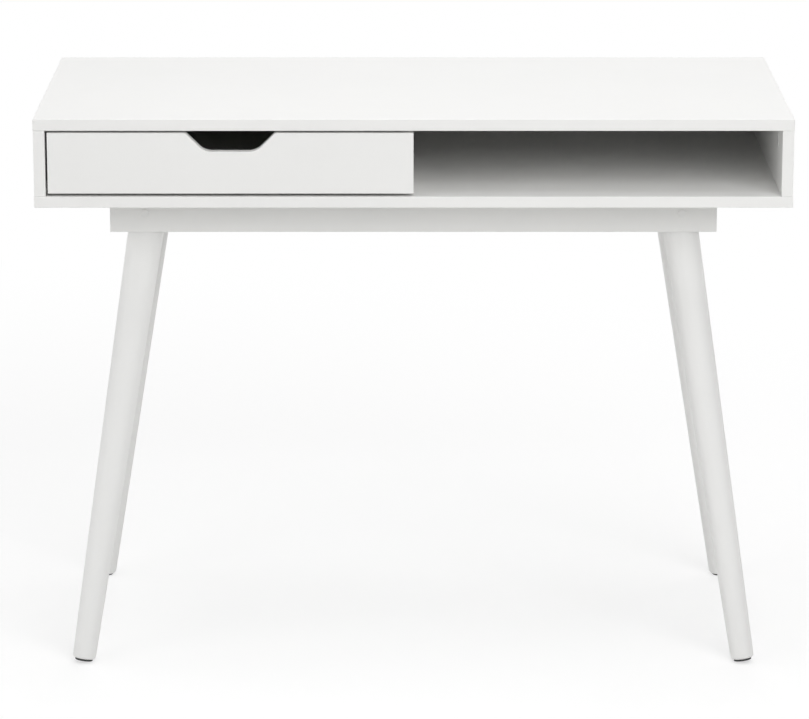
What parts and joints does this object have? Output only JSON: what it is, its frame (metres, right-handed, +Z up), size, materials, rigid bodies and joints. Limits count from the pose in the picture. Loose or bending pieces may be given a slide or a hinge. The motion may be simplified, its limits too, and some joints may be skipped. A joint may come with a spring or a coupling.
{
  "type": "writing desk",
  "caption": "White writing desk: a drawer with a cut-out grip on roller runners beside an open compartment, on a recessed base frame with splayed tapered round legs.",
  "frame": {"origin": "on the floor, below the middle of the desk", "axes": "+X to the user's right along the desk's width, +Y to the back, +Z up"},
  "size_m": [1, 0.48, 0.757],
  "materials": {
    "white_board": "satin white foil",
    "white_hardboard": "white lacquer",
    "white_leg": "satin white lacquer",
    "pale_timber": "bare wood",
    "black_glide": "matt",
    "white_plastic": "matt",
    "nylon": "satin",
    "white_steel": "epoxy coated",
    "zinc_steel": "zinc plated"
  },
  "bodies": {
    "desk": {"desktop": "white_board", "carcass_bottom": "white_board", "left_side": "white_board", "right_side": "white_board", "divider": "white_board", "back_panel": "white_hardboard", "front_rail": "white_board", "rear_rail": "white_board", "left_cross_beam": "white_leg", "right_cross_beam": "white_leg", "front_left_leg": "white_leg", "front_right_leg": "white_leg", "rear_left_leg": "white_leg", "rear_right_leg": "white_leg", "front_left_glide": "black_glide", "front_right_glide": "black_glide", "rear_left_glide": "black_glide", "rear_right_glide": "black_glide", "cam_locks": "zinc_steel", "cam_bolts": "zinc_steel", "cam_covers": "white_plastic", "carcass_dowels": "pale_timber", "carcass_bottom_screws": "zinc_steel", "rail_screws": "zinc_steel", "rail_caps": "white_plastic", "base_screws": "zinc_steel", "hanger_bolts": "zinc_steel", "threaded_sleeves": "zinc_steel", "left_cabinet_runner": "white_steel", "right_cabinet_runner": "white_steel", "cabinet_runner_screws": "zinc_steel", "front_roller_axles": "zinc_steel"},
    "drawer": {"drawer_front": "white_board", "drawer_left_side": "white_board", "drawer_right_side": "white_board", "drawer_back": "white_board", "drawer_bottom": "white_hardboard", "drawer_cam_locks": "zinc_steel", "drawer_cam_bolts": "zinc_steel", "drawer_dowels": "pale_timber", "drawer_back_screws": "zinc_steel", "drawer_runner_screws": "zinc_steel", "left_drawer_runner": "white_steel", "right_drawer_runner": "white_steel", "rear_roller_axles": "zinc_steel"},
    "left_front_roller": {"left_front_roller": "nylon"},
    "right_front_roller": {"right_front_roller": "nylon"},
    "left_rear_roller": {"left_rear_roller": "nylon"},
    "right_rear_roller": {"right_rear_roller": "nylon"}
  },
  "joints": [
    {"name": "drawer_slide", "type": "slide", "parent": "desk", "child": "drawer", "axis": [0, -1, 0], "range_m": [0, 0.3]},
    {"name": "left_front_roller_spin", "type": "hinge", "parent": "desk", "child": "left_front_roller", "pos_m": [-0.4779, -0.213, 0.6656], "axis": [1, 0, 0], "continuous": true},
    {"name": "right_front_roller_spin", "type": "hinge", "parent": "desk", "child": "right_front_roller", "pos_m": [-0.0236, -0.213, 0.6656], "axis": [1, 0, 0], "continuous": true},
    {"name": "left_rear_roller_spin", "type": "hinge", "parent": "drawer", "child": "left_rear_roller", "pos_m": [-0.4779, 0.163, 0.665], "axis": [1, 0, 0], "continuous": true},
    {"name": "right_rear_roller_spin", "type": "hinge", "parent": "drawer", "child": "right_rear_roller", "pos_m": [-0.0236, 0.163, 0.665], "axis": [1, 0, 0], "continuous": true}
  ],
  "couplings": [
    {"joint": "left_front_roller_spin", "follows": "drawer_slide", "rad_per_m": 125},
    {"joint": "right_front_roller_spin", "follows": "drawer_slide", "rad_per_m": 125},
    {"joint": "left_rear_roller_spin", "follows": "drawer_slide", "rad_per_m": 153.85},
    {"joint": "right_rear_roller_spin", "follows": "drawer_slide", "rad_per_m": 153.85}
  ]
}
